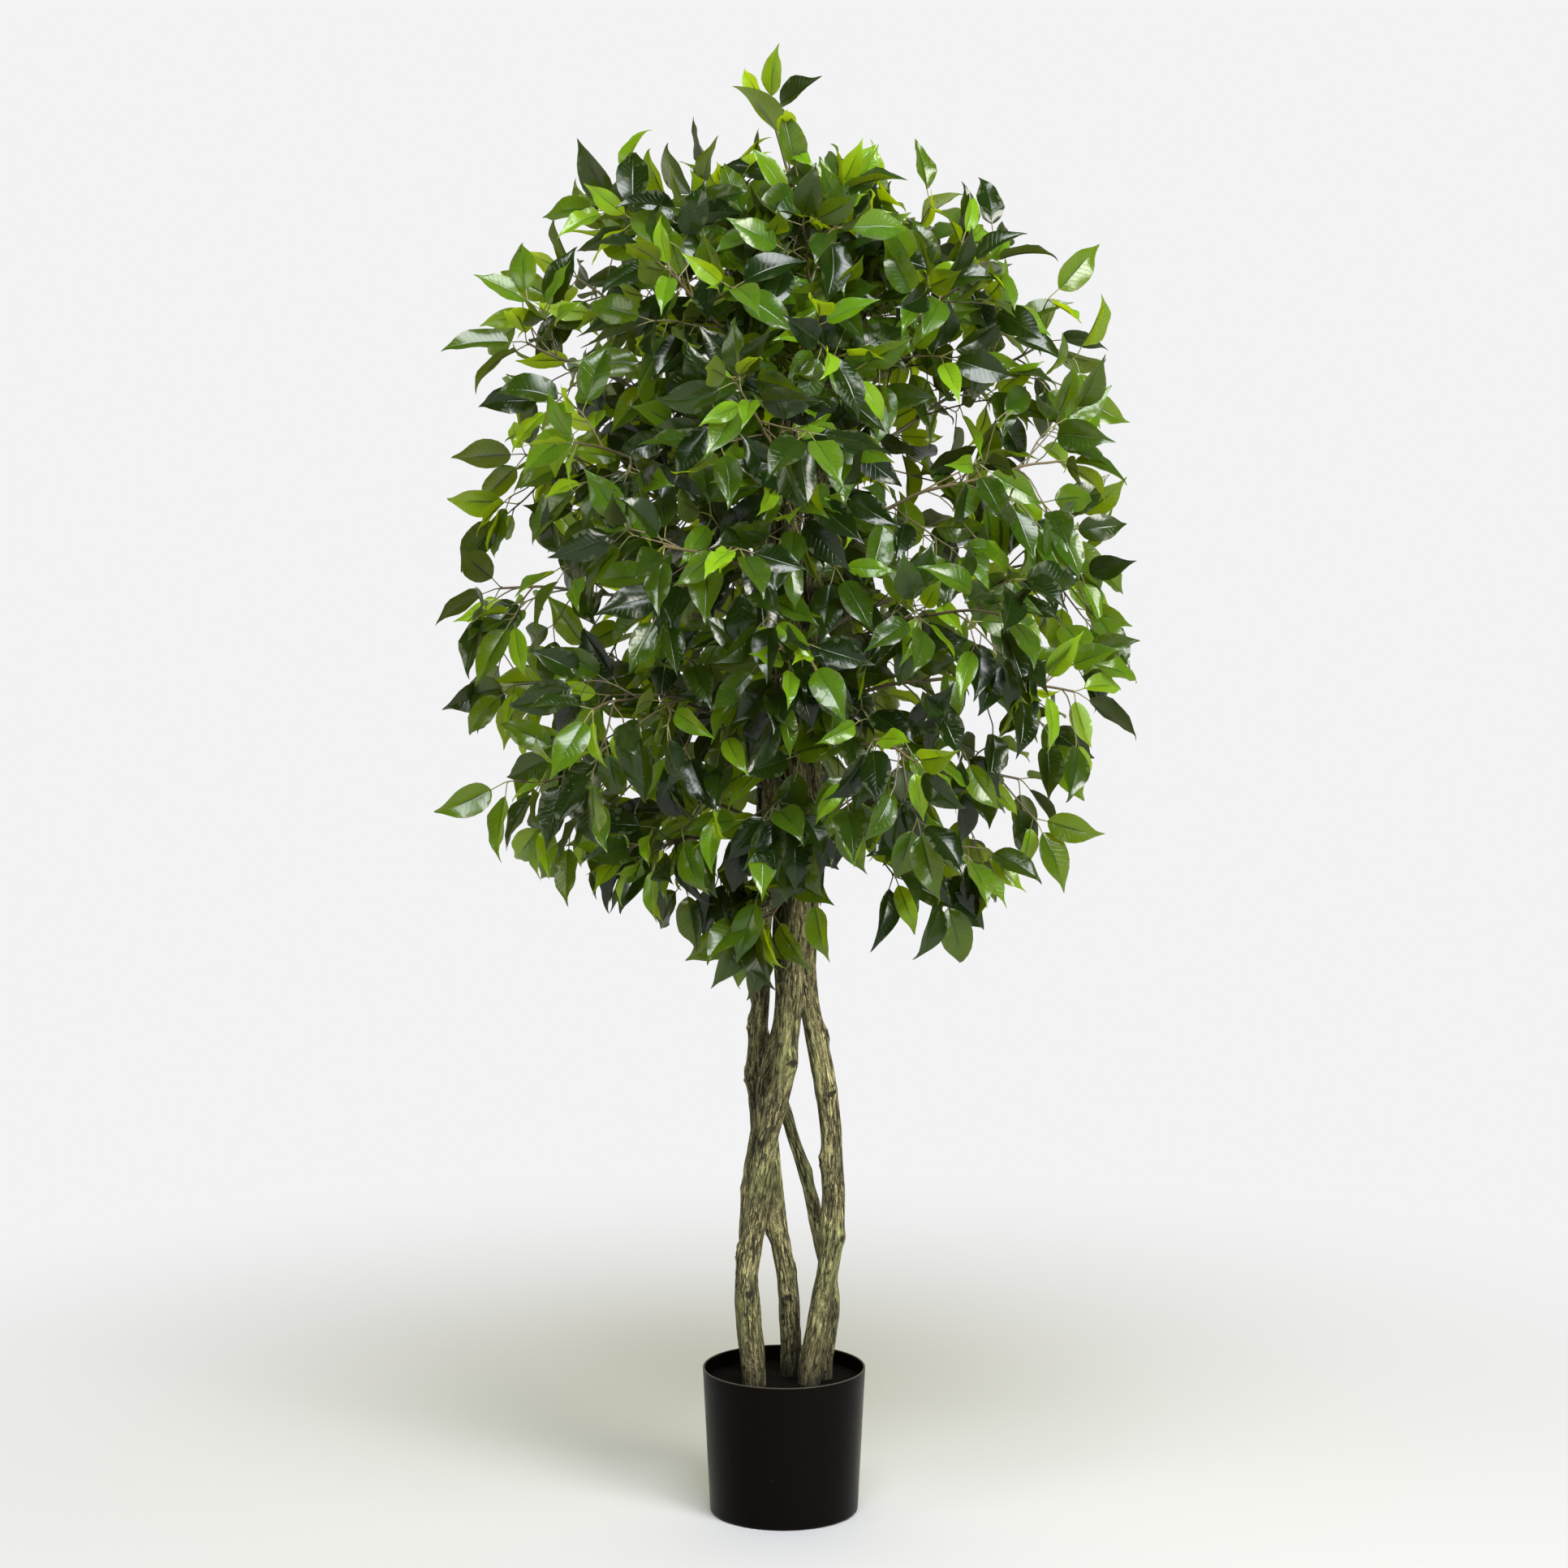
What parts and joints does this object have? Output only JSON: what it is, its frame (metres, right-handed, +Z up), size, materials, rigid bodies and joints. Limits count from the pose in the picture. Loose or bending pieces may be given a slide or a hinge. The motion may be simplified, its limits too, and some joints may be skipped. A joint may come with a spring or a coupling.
{
  "type": "potted ficus tree",
  "caption": "Artificial ficus tree: twined bark stems and a leafy oval crown of wire sprays, standing in a plain round dark pot.",
  "frame": {"origin": "centre of the pot's flat underside, on the floor", "axes": "+Z up along the pot's axis, -Y towards the viewer of the picture's side"},
  "size_m": [0.7623, 0.7187, 1.6177],
  "materials": {
    "pot_plastic": "satin",
    "dark_fill": "matte",
    "bark": "matte",
    "leaf_green": "satin"
  },
  "bodies": {
    "root": {"pot": "pot_plastic", "fill": "dark_fill", "trunk_front_left": "bark", "trunk_right": "bark", "trunk_middle": "bark", "trunk_back_left": "bark", "trunk_thin": "bark", "spray_01": "leaf_green", "spray_02": "leaf_green", "spray_03": "leaf_green", "spray_04": "leaf_green", "spray_05": "leaf_green", "spray_06": "leaf_green", "spray_07": "leaf_green", "spray_08": "leaf_green", "spray_09": "leaf_green", "spray_10": "leaf_green", "spray_11": "leaf_green", "spray_12": "leaf_green", "spray_13": "leaf_green", "spray_14": "leaf_green", "spray_15": "leaf_green", "spray_16": "leaf_green", "spray_17": "leaf_green", "spray_18": "leaf_green", "spray_19": "leaf_green", "spray_20": "leaf_green", "spray_21": "leaf_green", "spray_22": "leaf_green", "spray_23": "leaf_green", "spray_24": "leaf_green", "spray_25": "leaf_green", "spray_26": "leaf_green", "spray_27": "leaf_green", "spray_28": "leaf_green", "spray_29": "leaf_green", "spray_30": "leaf_green", "spray_31": "leaf_green", "spray_32": "leaf_green", "spray_33": "leaf_green", "spray_34": "leaf_green", "spray_35": "leaf_green", "spray_36": "leaf_green", "spray_37": "leaf_green", "spray_38": "leaf_green", "spray_39": "leaf_green", "spray_40": "leaf_green", "spray_41": "leaf_green", "spray_42": "leaf_green", "spray_43": "leaf_green", "spray_44": "leaf_green", "spray_45": "leaf_green"}
  },
  "joints": []
}
